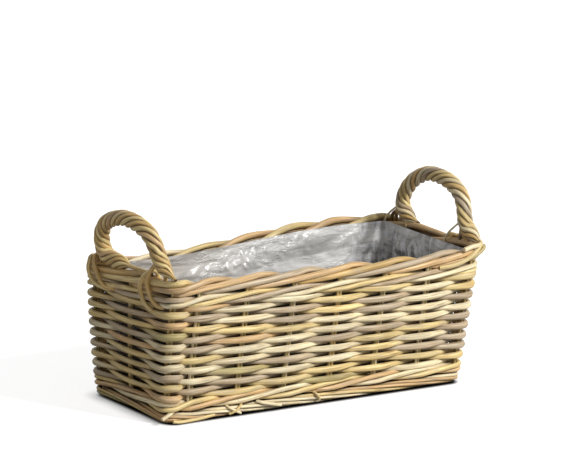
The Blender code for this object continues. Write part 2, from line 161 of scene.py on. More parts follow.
# sets a node's own fields, and the inputs that are named, by a value or by a link
def fillIn(node, **values):
    for name, value in values.items():
        if hasattr(node, name):
            setattr(node, name, value)
        else:
            feed(node.inputs[name.replace("_", " ")], value)
    return node


def addNode(tree, kind, **values):
    return fillIn(tree.nodes.new(kind), **values)


def maths(how, first, second):
    made = addNode(first.id_data, "ShaderNodeMath", operation=how)
    feed(made.inputs[0], first)
    feed(made.inputs[1], second)
    return made.outputs[0]


def blendColours(tree, how, factor, below, above):
    mix = addNode(tree, "ShaderNodeMix", data_type="RGBA", blend_type=how)
    for number, value in ((0, factor), (6, below), (7, above)):
        feed(mix.inputs[number], value)
    return mix.outputs[2]


def spread(value, low, high, toLow, toHigh, **more):
    return addNode(value.id_data, "ShaderNodeMapRange", Value=value, From_Min=low, From_Max=high,
                   To_Min=toLow, To_Max=toHigh, **more).outputs["Result"]


# a pattern laid along a mesh's own coordinates
def pattern(kind, source, scales, **more):
    tree = source.id_data
    stretched = addNode(tree, "ShaderNodeMapping", Vector=source, Scale=scales)
    return addNode(tree, kind, Vector=stretched.outputs["Vector"], Scale=1.0, **more).outputs[0]


# camera, light and floor

camera = {
    "azimuth": -36.063, "elevation": 12.071, "roll": 2.564,
    "distance": 3.6462, "right": -0.0017, "up": 0.1932, "lens": 188.48,
}


def placeCamera():
    a, e, r = (math.radians(camera[k]) for k in ("azimuth", "elevation", "roll"))
    back = Vector((math.sin(a) * math.cos(e), -math.cos(a) * math.cos(e), math.sin(e)))
    right = Vector((math.cos(a), math.sin(a), 0))
    up = back.cross(right)
    spot = back * camera["distance"] + right * camera["right"] + up * camera["up"]
    spot.x += basket["centreShift"]
    right, up = right * math.cos(r) + up * math.sin(r), up * math.cos(r) - right * math.sin(r)
    bpy.ops.object.camera_add()
    eye = bpy.context.object
    eye.name = "photoCamera"
    eye.matrix_world = Matrix.Translation(spot) @ Matrix((right, up, back)).transposed().to_4x4()
    eye.data.lens = camera["lens"]
    eye.data.sensor_width = 36
    eye.data.clip_end = 50
    bpy.context.scene.camera = eye


light = {
    # name, place, size and power
    "lamps": (("keyLamp", (1.3, -2.7, 2.3), 0.8, 130), ("fillLamp", (-2.6, -1.6, 1.9), 2.4, 0.5)),
    "aim": (0, 0, 0.1),
    "sky": 0.23, "floorTone": 0.64, "floorGlow": 0.815,
    # painted shadow: the floor doesn't glow and its colour is black under the basket: half sizes, rounding
    # and soft edge of that place
    "footprint": (0.2010, 0.0645, 0), "footRound": 0.0120, "footFade": 0.0085,
    "contact": 0.02,  # reach of the painted contact shadow beside the foot, where ambient occlusion dims the glow
}


def addLamp(name, spot, size, power):
    bpy.ops.object.light_add(type="AREA", location=spot)
    lamp = bpy.context.object
    lamp.name = name
    lamp.data.shape = "DISK"
    lamp.data.size = size
    lamp.data.energy = power
    aim = Vector(light["aim"]) - Vector(spot)
    lamp.rotation_euler = aim.to_track_quat("-Z", "Y").to_euler()


def lightStudio():
    for lamp in light["lamps"]:
        addLamp(*lamp)
    world = bpy.data.worlds.new("paleStudio")
    bpy.context.scene.world = world
    world.use_nodes = True
    tree = world.node_tree
    rays = tree.nodes.new("ShaderNodeLightPath")
    seen = rays.outputs["Is Camera Ray"]
    for kind in ("Is Glossy Ray", "Is Transmission Ray"):
        seen = maths("MAXIMUM", seen, rays.outputs[kind])
    fillIn(tree.nodes["Background"], Color=(1, 1, 1, 1), Strength=spread(seen, 0, 1, light["sky"], 1))


def layFloor():
    bpy.ops.mesh.primitive_grid_add(x_subdivisions=4, y_subdivisions=4, size=30)
    floor = bpy.context.object
    floor.name = "studioFloor"
    surface, tree, shader = newFinish("paleFloor")
    rays = tree.nodes.new("ShaderNodeLightPath")
    glow = maths("MULTIPLY", rays.outputs["Is Camera Ray"], light["floorGlow"])
    # painted contact shadow: the glow dims by ambient occlusion close to the foot
    contactShadow = addNode(tree, "ShaderNodeAmbientOcclusion", Distance=light["contact"])
    glow = maths("MULTIPLY", glow, contactShadow.outputs["AO"])
    # painted shadow: under the basket the floor has no glow and a black colour
    place = tree.nodes.new("ShaderNodeTexCoord").outputs["Object"]
    steps = (("SUBTRACT", (basket["centreShift"], 0, 0)), ("ABSOLUTE", None),
             ("SUBTRACT", light["footprint"]), ("MAXIMUM", (0, 0, 0)), ("LENGTH", None))
    for kind, value in steps:
        step = addNode(tree, "ShaderNodeVectorMath", operation=kind)
        feed(step.inputs[0], place)
        if value:
            feed(step.inputs[1], value)
        place = step.outputs[0]
    clear = spread(step.outputs["Value"], light["footRound"],
                   light["footRound"] + light["footFade"], 0, 1, interpolation_type="SMOOTHSTEP")
    fillIn(shader, Base_Color=spread(clear, 0, 1, 0, light["floorTone"]),
           Roughness=0.9, Specular_IOR_Level=0.1, Emission_Color=(1, 1, 1, 1),
           Emission_Strength=maths("MULTIPLY", glow, clear))
    floor.data.materials.append(surface)


placeCamera()
lightStudio()
layFloor()
bpy.context.scene.view_settings.view_transform = "Standard"
print("studio ready")


# finishes

caneLook = {
    # pattern scales along and across a cane
    "streaks": (30, 620, 620), "blotches": (34, 170, 170), "patches": (27.2, 60, 60),
    "knots": (17, 210, 210),
    "streakSpan": (0.35, 0.66), "streakDark": (0.66, 0.61, 0.53), "streakLight": (1.16, 1.16, 1.14),
    # each layer's share, its colour and where in its pattern it sets in
    "weather": 0.55, "grey": paint("B2A592"), "weatherSpan": (0.50, 0.72),
    "warmth": 0.42, "warm": (1.0, 0.85, 0.62), "warmSpan": (0.45, 0.72),
    "knotShare": 0.75, "knotDark": (0.30, 0.19, 0.10), "knotSpan": (0.06, 0.22),
    # painted shade, partly dirt: share and colour of the darkening in gaps, grooves and on faces that
    # point down
    "dirt": 0.85, "shadeAndDirtColour": (0.15, 0.10, 0.06),
    "rough": 0.5, "relief": 0.35, "reliefDepth": 0.0006,
}


# dry peeled cane: its own tint, long fibres, grey weathering, knots, and painted shade, partly dirt, in
# the gaps and underneath
def caneFinish(name, **changes):
    look = {**caneLook, **changes}
    finish, tree, shader = newFinish(name)
    fibre, tint, paintedShadeAndDirt = (addNode(tree, "ShaderNodeAttribute", attribute_name=kept)
                          for kept in ("fibre", "tint", "paintedShadeAndDirt"))
    streak, blotch, patch = (
        pattern("ShaderNodeTexNoise", fibre.outputs["Vector"], look[kind], Detail=detail, Roughness=0.55)
        for kind, detail in (("streaks", 4), ("blotches", 3), ("patches", 2)))
    cells = pattern("ShaderNodeTexVoronoi", fibre.outputs["Vector"], look["knots"], Randomness=1.0)
    knot = spread(cells, *look["knotSpan"], 1, 0)

    fibres = blendColours(tree, "MIX", spread(streak, *look["streakSpan"], 0, 1),
                          (*look["streakDark"], 1), (*look["streakLight"], 1))
    colour = blendColours(tree, "MULTIPLY", 1.0, tint.outputs["Color"], fibres)
    layers = (("MIX", blotch, look["weatherSpan"], look["weather"], look["grey"]),
              ("MULTIPLY", patch, look["warmSpan"], look["warmth"], look["warm"]),
              ("MULTIPLY", knot, (0, 1), look["knotShare"], look["knotDark"]),
              # painted shade, partly dirt, from the mask kept on the points
              ("MULTIPLY", paintedShadeAndDirt.outputs["Fac"], (0, 1), look["dirt"], look["shadeAndDirtColour"]))
    for how, where, span, share, tone in layers:
        colour = blendColours(tree, how, spread(where, *span, 0, share), colour, (*tone, 1))
    height = maths("SUBTRACT", streak, spread(knot, 0, 1, 0, 0.5))
    raised = addNode(tree, "ShaderNodeBump", Strength=look["relief"], Distance=look["reliefDepth"],
                     Height=height)
    fillIn(shader, Base_Color=colour, Normal=raised.outputs["Normal"],
           Roughness=spread(streak, 0.3, 0.7, look["rough"] + 0.1, look["rough"] - 0.06))
    return finish


# how dark each finish's painted shade, partly dirt, may go
finishes = {
    "row": caneFinish("dryWovenCane"),
    "wale": caneFinish("dryWaleCane", weather=0.5),
    "border": caneFinish("dryBorderCane", weather=0.45, rough=0.46),
    "foot": caneFinish("dryFootCane", dirt=0.95),
    "stake": caneFinish("oliveStakeCane", weather=0.3, streaks=(30, 800, 800)),
    "base": caneFinish("dryBaseCane", dirt=0.5),
    "handle": caneFinish("goldenHandleCane", weather=0.25, warmth=0.4, dirt=1.0, rough=0.44),
    "lashing": caneFinish("goldenLashingCane", weather=0.25, warmth=0.35, dirt=0.6, rough=0.44),
}
cream, straw, taupe = paint("F5E8C4"), paint("E8D196"), paint("C6B499")
tan, olive, golden = paint("DDBB8A"), paint("BDB07C"), paint("D6B576")
print("finishes mixed")


# canes

# how a kind of cane is laid unless its own dictionary says otherwise
caneMesh = {
    "sides": 12, "upright": True, "weld": 0.000002, "sharpAngle": 50,
    "shade": (0.93, 1.06),  # how much darker or lighter than its tint a cane may be
    # painted shade, partly dirt: how far outside the stakes' line it sets in, over what depth, and its
    # share on faces that point down
    "shadeAndDirtFrom": 0.0022, "shadeAndDirtSpan": 0.0065, "under": 0.6,
}


# lays canes along their lines and makes them one mesh piece, with the grain's
# coordinates, each cane's tint and the painted shade, partly dirt, kept on its points
def layCanes(name, nodes, canes, kind, look, shadeAndDirtAt=None):
    look = {**caneMesh, **look}
    sides = look["sides"]
    thick, tall = np.broadcast_to(look["size"], 2)
    bpy.ops.object.select_all(action="DESELECT")
    bpy.ops.curve.primitive_bezier_circle_add(radius=1)
    outline = bpy.context.object
    outline.data.resolution_u = sides // 4
    outline.scale = (thick / 2, tall / 2, 1)
    bpy.ops.object.transform_apply(scale=True)
    bpy.ops.curve.primitive_nurbs_path_add()
    path = bpy.context.object
    path.name = name
    path.data.splines.clear()
    path.data.bevel_mode = "OBJECT"
    path.data.bevel_object = outline
    path.data.twist_mode = "Z_UP" if look["upright"] else "MINIMUM"
    for cane in canes:
        line = path.data.splines.new("POLY")
        line.points.add(len(cane["points"]) - 1)
        line.points.foreach_set("co", np.c_[cane["points"], np.ones(len(cane["points"]))].ravel())
        line.points.foreach_set("radius", np.broadcast_to(cane["girth"], len(cane["points"])))
        line.use_cyclic_u = cane.get("closed", False)
    bpy.ops.object.convert(target="MESH")
    piece = bpy.context.object
    bpy.data.objects.remove(outline)

    mesh = piece.data
    turn = np.arange(sides) * 2 * math.pi / sides
    fibre, tint = [], []
    for cane in canes:
        points = np.asarray(cane["points"], float)
        steps = np.r_[0, np.cumsum(np.linalg.norm(np.diff(points, axis=0), axis=1))]
        shift = dice.uniform(0, 9, 3)
        ring = np.empty((len(points), sides, 3))
        ring[:, :, 0] = steps[:, None] + shift[0]
        ring[:, :, 1] = np.cos(turn) * thick / 2 + shift[1]
        ring[:, :, 2] = np.sin(turn) * tall / 2 + shift[2]
        fibre.append(ring.reshape(-1, 3))
        shade = np.ones((len(points) * sides, 4))
        tones = np.broadcast_to(cane["tint"], (len(points), 3))
        shade[:, :3] = np.repeat(tones, sides, axis=0) * dice.uniform(*look["shade"])
        tint.append(shade)
    spots = readRows(mesh.vertices, "co")
    # painted shade, partly dirt: darker deeper in the wall behind the stakes, or by the piece's own mask,
    # and on faces that point down
    if shadeAndDirtAt:
        dirt = shadeAndDirtAt(spots)
    else:
        dirt = np.clip((wallDepth(spots) + look["shadeAndDirtFrom"]) / look["shadeAndDirtSpan"], 0, 1)
    facing = readRows(mesh.vertex_normals, "vector")[:, 2]
    dirt = np.maximum(dirt, look["under"] * np.clip(-facing * 2 - 0.8, 0, 1))
    keepOnPoints(mesh, "fibre", "FLOAT_VECTOR", "vector", np.concatenate(fibre))
    keepOnPoints(mesh, "tint", "FLOAT_COLOR", "color", np.concatenate(tint))
    keepOnPoints(mesh, "paintedShadeAndDirt", "FLOAT", "value", dirt)
    bpy.ops.object.mode_set(mode="EDIT")
    bpy.ops.mesh.select_all(action="SELECT")
    bpy.ops.mesh.remove_doubles(threshold=look["weld"])
    bpy.ops.object.mode_set(mode="OBJECT")
    bpy.ops.object.shade_smooth_by_angle(angle=math.radians(look["sharpAngle"]))
    mesh.materials.clear()
    mesh.materials.append(finishes[kind])
    settle(piece, nodes)


# moves a finished piece from the wall's centre to the frame's, with the rim's small twist
def settle(piece, nodes):
    mesh = piece.data
    spots = readRows(mesh.vertices, "co")
    high = np.clip(spots[:, 2] / basket["rimTop"], 0, 1)
    side, deep = (spots[:, i] / basket["halfRim"][i] for i in (0, 1))
    atLeft = np.clip(-side, 0, 1) ** 3
    arch = basket["footArch"] * np.clip(1 - 1.4 * deep ** 2, 0, 1) * atLeft * (1 - high) ** 6
    spots[:, 2] += high * side * (basket["riseX"] + basket["riseXY"] * deep) + arch
    bow = high ** 3 * basket["backBow"] * np.sin(math.pi * np.clip(side, -1, 1))
    spots[:, 2] += bow * np.clip(deep, 0, 1)
    drawnUp = np.clip(side, 0, 1) ** 4 * np.clip(0.62 - 0.6 * deep, 0, 1)
    spots[:, 2] += high ** 2 * basket["cornerLift"] * drawnUp
    spots[:, 0] -= basket["leftBulge"] * atLeft * np.sin(math.pi * high)
    spots[:, 0] += basket["centreShift"]
    mesh.vertices.foreach_set("co", spots.ravel())
    mesh.update()
    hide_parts(*nodes)
    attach(piece, "root")


# a girth that thins out to nothing over the last few points, or is cut off square
def tipped(girth, count, start=0, end=0):
    girth = np.array(np.broadcast_to(girth, count), float)
    for reach, order in ((start, 1), (end, -1)):
        if reach:
            ramp = np.sqrt(np.linspace(0, 1, reach + 1)[:-1])
            girth[::order][:reach] *= ramp
        else:
            girth[::order][0] = 0
    return girth


# an extra point just past each end, so that a cut end closes flat
def squareEnds(points, gap=0.0002):
    points = np.asarray(points, float)
    first = points[0] + (points[0] - points[1]) / np.linalg.norm(points[0] - points[1]) * gap
    last = points[-1] + (points[-1] - points[-2]) / np.linalg.norm(points[-1] - points[-2]) * gap
    return np.vstack([first, points, last])


def newCane(points, girth, tint, start=0, end=0):
    return {"points": points, "girth": tipped(girth, len(points), start, end), "tint": tint}


# a girth of about 1 that changes from place to place
def uneven(places, seed, look):
    return np.array([1 + look["drift"] * drift(place, seed) for place in places])


# a turn that starts at a given stake and is never quite the same
def looseLine(number, turn, look):
    sway, rise = look["loose"]
    rows = [(number + lap, offset + dice.uniform(*sway), height + dice.uniform(*rise))
            for lap, offset, height in turn]
    return smoothLine(rows, look["steps"])


# points round the wall from laps, offsets and heights, the last two in millimetres
def roundWall(line, z):
    return [wallPoint(lap, offset / 1000, z + height / 1000) for lap, offset, height in line]


# woven rows

weave = {
    "rows": 18, "firstZ": 0.030133, "pitch": 0.0063, "swing": 0.0052,
    "size": (0.0058, 0.0073), "bulge": 0.20, "stepsPerStake": 18, "overlap": 0.3,
    "wander": 0.0012, "jitter": 0.0005,  # how far a row strays from its height, slowly and quickly
    "tints": (cream, straw, taupe, tan, olive), "odds": (0.30, 0.34, 0.25, 0.08, 0.03),
    "newTint": 0.6, "newShade": (0.88, 1.06),  # how often the tint changes under way, and how much
    "slimmest": 0.93, "drift": 0.13, "swingDrift": 0.08,
    # a cane's two ends, in laps and metres, which lie beside the next cane
    "tip": {"reach": 0.5, "rise": 0.0011, "out": 0.0006, "thinner": 0.5},
    # girth round the basket: thick at the corners, thinner on the ends
    "girthLaps": (0, 0.35, 6.7, 7, 7.4, 8.6, 9, 9.3, 15.7, 16, 16.4, 17.6, 18),
    "girths": (1.12, 1.0, 1.0, 1.06, 0.86, 0.86, 1.0, 1.0, 1.0, 1.0, 0.86, 0.86, 1.12),
}


# how far round its stake a cane is: it runs straight while it rounds a corner
def swingPhase(lap):
    number = round(lap)
    away = lap - number
    if number % basket["stakes"] in basket["corners"]:
        share = basket["cornerShare"] * 0.9
        away = math.copysign(max(abs(away) - share, 0) / (0.5 - share) * 0.5, away)
    return number, away


def rowCane(row, fromLap, toLap):
    laps = np.linspace(fromLap, toLap, int((toLap - fromLap) * weave["stepsPerStake"]) + 1)
    points, girth, tint = [], [], []
    shades = {}
    for hump in range(math.floor(fromLap) - 1, math.ceil(toLap) + 2):
        if not shades or dice.random() < weave["newTint"]:
            shade = weave["tints"][dice.choice(len(weave["tints"]), p=weave["odds"])]
        shades[hump] = np.array(shade) * dice.uniform(*weave["newShade"])
    ends = weave["tip"]
    for lap in laps:
        number, away = swingPhase(lap)
        outside = (1 if (number + row) % 2 == 0 else -1) * math.cos(math.pi * away)
        swing = weave["swing"] * (1 + weave["swingDrift"] * drift(lap * 0.9, row + 40))
        home = lap % basket["stakes"]
        z = weave["firstZ"] + row * weave["pitch"]
        z += weave["wander"] * 2 * noise.noise((home * 0.35, row * 0.13, 3.3))
        z += weave["jitter"] * 2 * drift(home * 0.8, row)
        fromEnd = min(lap - fromLap, toLap - lap)
        tip = max(0, 1 - fromEnd / ends["reach"])
        z += tip * ends["rise"] * (1 if lap - fromLap < 1 else -1)
        points.append(wallPoint(lap, outside * swing + tip * ends["out"], z))
        fullness = weave["slimmest"] + weave["bulge"] * max(outside, 0) ** 1.5
        fullness += weave["drift"] * drift(lap * 0.6, row + 80)
        girth.append(fullness * (1 - ends["thinner"] * tip)
                     * np.interp(home, weave["girthLaps"], weave["girths"]))
        inside = (number + row) % 2
        tint.append(shades[number + (inside if away > 0 else -inside)])
    return newCane(points, girth, tint, 2, 2)


def weaveRows():
    for row in range(weave["rows"]):
        hidden = [n for n in range(basket["stakes"])
                  if (n + row) % 2 == 1 and n not in basket["corners"]]
        dice.shuffle(hidden)
        breaks = sorted(hidden[:2])
        canes = [rowCane(row, start - weave["overlap"], end + weave["overlap"])
                 for start, end in zip(breaks, breaks[1:] + [breaks[0] + basket["stakes"]])]
        layCanes("wovenRow%02d" % (row + 1), ["woven_row_%02d" % (row + 1)], canes, "row", weave)
    print("rows woven")


# three-rod bands

wale = {
    "bottomZ": 0.017258, "topZ": 0.142908, "size": 0.0060, "steps": 12,
    "jitter": 0.0003, "drift": 0.06,
    # lap from its first stake, offset and height in millimetres
    "turn": ((0, 5.2, 0), (0.5, 5.9, 3.6), (1, 5.2, 7.0), (1.5, 0.3, 7.3), (2, -5.3, 4.2),
             (2.5, -0.2, 0.1)),
    "tints": (straw, tan, cream, cream, straw, taupe),
}


def layWales():
    for place, low in (("bottom", wale["bottomZ"]), ("top", wale["topZ"])):
        for rod in range(3):
            rows = [(rod + 3 * turn + lap, offset, height)
                    for turn in range(-1, 7) for lap, offset, height in wale["turn"]]
            line = smoothLine(rows, wale["steps"])
            line = line[(line[:, 0] >= rod) & (line[:, 0] < rod + basket["stakes"] - 0.001)]
            points, girth = [], []
            for lap, offset, height in line:
                home = lap % basket["stakes"]
                z = low + height / 1000 + wale["jitter"] * 2 * drift(home, rod + 5)
                points.append(wallPoint(lap, offset / 1000, z))
                girth.append(1 + wale["drift"] * noise.noise((home * 0.6, rod * 3.1, low * 90)))
            tint = wale["tints"][rod + (3 if place == "top" else 0)]
            layCanes("%sWale%d" % (place, rod + 1), ["%s_wale_rod_%d" % (place, rod + 1)],
                     [{"points": points, "girth": girth, "tint": tint, "closed": True}], "wale", wale)
    print("bands laid")


# rim border

border = {
    "middleZ": 0.163329, "size": (0.0074, 0.0080), "steps": 9,
    # lap from its own stake, offset and height in millimetres: up the stake, over the
    # inside to the next stake on the left, then down the outside
    "turn": ((0.25, -2.5, -9), (0, -3.5, -5), (-0.25, -3.8, -0.5), (-0.5, -3.0, 3.8),
             (-0.75, -1.0, 5.8), (-1.0, 2.2, 5.0), (-1.25, 4.4, 3.2), (-1.6, 5.2, 0.6),
             (-2.0, 5.0, -2.2), (-2.4, 4.4, -4.8), (-2.8, 2.0, -7.0), (-3.05, -1.5, -8.0)),
    "tints": (golden, straw, tan, tan, taupe, tan, golden, taupe, tan,
              tan, straw, tan, straw, tan, straw, cream, tan, golden),
    "loose": ((-0.3, 0.3), (-0.35, 0.35)), "girths": (1.06, 0.9), "drift": 0.07,
    "grooveFrom": 0.0052, "grooveTo": 0.0018,  # from its middle, where the painted shade sets in and is full
    # canes knotted round the front right corner, in millimetres beyond the end's line,
    # beyond the front's line and above the rim, with their girth
    "knot": ((((4, -61, -3), (7, -33, -2), (6, -11, 0), (2, 4, 0.5), (-8, 8, -6), (-22, 9, -13),
               (-42, 8, -18), (-60, 3, -20)), 0.72, straw),
             (((3, -21, -8), (5, -3, -3), (-4, 7.5, 0), (-15, 8.5, 0.5), (-27, 8.5, -1.5)), 0.74, cream),
             (((-34, 5, -18), (-16, 9, -12), (-6, 9.5, -9), (4, 7, -5.5), (10, 1, -4)), 0.62, olive)),
}


# painted shade in the middle of the border, where its canes lie on each other
def borderGrooveShade(spots):
    away = np.hypot(wallDepth(spots), (spots[:, 2] - border["middleZ"]) * 0.8)
    return np.clip((border["grooveFrom"] - away) / (border["grooveFrom"] - border["grooveTo"]), 0, 1)


def bendBorder():
    canes = [[], []]
    for number in range(basket["stakes"]):
        line = looseLine(number, border["turn"], border)
        girth = uneven(line[:, 0] * 0.7, number + 30, border)
        girth *= np.linspace(*border["girths"], len(line))
        canes[number % 2].append(newCane(roundWall(line, border["middleZ"]), girth,
                                         border["tints"][number], 2, 6))
    for rows, girth, tint in border["knot"]:
        points = [(basket["lineLength"] + beyond / 1000, -basket["lineWidth"] - proud / 1000,
                   basket["rimTop"] + above / 1000)
                  for beyond, proud, above in smoothLine(rows, border["steps"])]
        canes[0].append(newCane(squareEnds(points), girth, tint))
    for half in range(2):
        layCanes("borderCanes%d" % (half + 1), ["border_rod_%d" % (half + 1)], canes[half], "border",
                 border, borderGrooveShade)
    print("border bent over")


# foot border

foot = {
    "middleZ": 0.00675, "size": 0.0042, "sides": 8, "steps": 8,
    # painted shade, partly dirt: on the foot it sets in further outside the line and is darker underneath
    "loose": ((-0.3, 0.3), (-0.3, 0.2)), "drift": 0.08, "shadeAndDirtFrom": 0.0045, "under": 0.9,
    # lap from its own stake, offset and height in millimetres
    "outer": ((-0.1, -3.5, 3.2), (0.3, 0.5, 4.0), (0.9, 4.6, 3.4), (1.6, 5.2, 0.9),
              (2.3, 4.4, -2.2), (2.9, 1.0, -4.2), (3.3, -3.2, -3.6)),
    "inner": ((0.1, 3.0, 0.6), (-0.3, -0.5, 1.6), (-0.9, -4.8, 2.0), (-1.6, -5.2, -0.6),
              (-2.3, -3.6, -3.2), (-2.9, 0.6, -4.2), (-3.3, 3.0, -1.2)),
    "tints": (straw, tan, cream, straw, taupe, olive, straw),
    # cut ends on the front, in millimetres along, outwards and up, with their girth
    "stubs": ((((-200, -3, 17.5), (-204, 0.8, 16), (-214, 5.2, 12), (-223.5, 6.7, 8)), 1.2, cream),
              (((-150, 5, 4.5), (-175, 7.5, 3), (-200, 9, 2.9), (-209, 8, 4)), 1.1, straw),
              (((-134, 4, 14), (-131, 7.5, 11.5), (-122, 9, 6.5), (-114, 7.5, 2.6)), 0.8, cream),
              (((-130, 7, 3.4), (-123, 9.5, 7), (-116, 7.5, 11.5), (-112, 4, 14)), 0.8, straw),
              (((-90, 3, 14), (-84, 7.5, 12), (-70, 9, 8.6), (-57, 8, 5.6)), 1.05, cream),
              (((-7, 3, 15), (-4.7, 8, 12), (-2, 9, 8.5), (-0.8, 8.5, 5.6)), 0.85, straw)),
}


def plaitFoot():
    canes = []
    for number in range(basket["stakes"]):
        for place in ("outer", "inner"):
            line = looseLine(number, foot[place], foot)
            girth = uneven(line[:, 0], number + 60, foot)
            tint = foot["tints"][dice.integers(len(foot["tints"]))]
            canes.append(newCane(roundWall(line, foot["middleZ"]), girth, tint, 2, 3))
    for rows, girth, tint in foot["stubs"]:
        points = [(along / 1000, -lineSize(up / 1000)[1] - out / 1000, up / 1000)
                  for along, out, up in smoothLine(rows, foot["steps"])]
        canes.append(newCane(squareEnds(points), girth, tint))
    layCanes("footPlait", ["foot_ring"], canes, "foot", foot)
    print("foot plaited")


# stakes

stake = {
    "size": 0.0037, "sides": 8, "upright": False, "apart": 0.0020, "ribZ": 0.0156, "bend": 0.0042,
    "topZ": 0.1575, "bottomZ": 0.0138, "tints": (straw, olive, cream, golden), "sway": 0.0005,
    # painted shade, partly dirt, only from 5 mm inside the stakes' line
    "shadeAndDirtFrom": -0.005, "wallSteps": 40, "floorSteps": 24,
    "endOffset": -0.0004,  # the pairs at the corners and ends stand this far out of the line
    "innerCanes": (0.0055, 0.0077, 0.0096),  # how far inside both faces a corner's other canes stand
    "ends": (("corner_post_front_left", 0), ("corner_post_front_right", 7),
             ("corner_post_back_right", 9), ("corner_post_back_left", 16),
             ("end_stake_right", 8), ("end_stake_left", 17)),
}


def pairOfCanes(path, across, seed):
    canes = []
    for way in (-1, 1):
        points = []
        for spot in path:
            sway = stake["sway"] * drift(spot[2] * 25 + spot[1] * 9, seed + way)
            points.append(np.array(spot) + np.array(across) * (way * stake["apart"] + sway))
        tint = stake["tints"][dice.integers(len(stake["tints"]))]
        canes.append(newCane(squareEnds(points), 1, tint))
    return canes


# one side's stakes: down the front wall, round the foot, under the floor and up the back wall
def ribPath(x):
    heights = np.linspace(stake["topZ"], stake["ribZ"] + stake["bend"], stake["wallSteps"])
    half = [(x, -lineSize(z)[1], z) for z in heights]
    edge = -half[-1][1] - stake["bend"]
    for degrees in range(15, 91, 15):
        angle = math.radians(degrees)
        half.append((x, -edge - stake["bend"] * math.cos(angle),
                     stake["ribZ"] + stake["bend"] * (1 - math.sin(angle))))
    across = [(x, y, stake["ribZ"]) for y in np.linspace(-edge, edge, stake["floorSteps"])[1:-1]]
    return half + across + [(x, -y, z) for x, y, z in reversed(half)]


# a cane on the corner's diagonal, which fills the corner behind its pair; deep in the wall, painted shade
# makes it dark
def innerCane(path, inset):
    points = []
    for spot in path:
        halfLength, halfWidth = lineSize(spot[2])
        points.append((math.copysign(halfLength - inset, spot[0]),
                       math.copysign(halfWidth - inset, spot[1]), spot[2]))
    return newCane(squareEnds(points), 1, golden)


def setStakes():
    for number in range(1, basket["sideStakes"] + 1):
        canes = pairOfCanes(ribPath(stakeX(number)), (1, 0, 0), number)
        layCanes("ribCanes%d" % number, ["rib_pair_%d" % number], canes, "stake", stake)
    heights = np.linspace(stake["topZ"], stake["bottomZ"], stake["wallSteps"])
    for node, lap in stake["ends"]:
        path = [wallPoint(lap, stake["endOffset"], z) for z in heights]
        ahead = Vector(wallPoint(lap + 0.05, 0, 0.1)) - Vector(wallPoint(lap - 0.05, 0, 0.1))
        canes = pairOfCanes(path, ahead.normalized(), lap + 20)
        if node.startswith("corner"):
            canes += [innerCane(path, inset) for inset in stake["innerCanes"]]
        first, *others = node.split("_")
        name = first + "".join(word.capitalize() for word in others) + "Canes"
        layCanes(name, [node], canes, "stake", stake)
    print("stakes set")


# base

base = {
    "size": 0.0050, "pitch": 0.0064, "margin": 0.0125, "swing": 0.0050,
    # darker from 20 mm inside the stakes' line inwards, and on faces that point down
    "sides": 8, "upright": False, "steps": 8, "drift": 0.05, "shadeAndDirtFrom": -0.02,
}


def weaveBase():
    halfLength, halfWidth = lineSize(stake["ribZ"])
    endX, edgeY = halfLength - base["margin"], halfWidth - base["margin"]
    passes = int(round(2 * edgeY / base["pitch"])) + 1
    step = 2 * edgeY / (passes - 1)
    rows = [(-endX, -edgeY, 0)]
    for number in range(passes):
        y = -edgeY + number * step
        heading = 1 if number % 2 == 0 else -1
        for rib in range(1, basket["sideStakes"] + 1)[::heading]:
            over = 1 if (rib + number) % 2 == 0 else -1
            rows.append((stakeX(rib), y, over * base["swing"]))
        if number < passes - 1:
            rows.append((heading * endX, y, 0))
            rows.append((heading * (endX + step / 2), y + step / 2, 0))
            rows.append((heading * endX, y + step, 0))
    rows.append((-endX if passes % 2 == 0 else endX, edgeY, 0))
    line = smoothLine(rows, base["steps"])
    points = squareEnds([(x, y, stake["ribZ"] + z) for x, y, z in line])
    girth = uneven(np.arange(len(points)) * 0.05, 12, base)
    layCanes("baseWeaverCane", ["base_weaver"], [newCane(points, girth, straw)], "base", base)
    print("base woven")


# rope handles

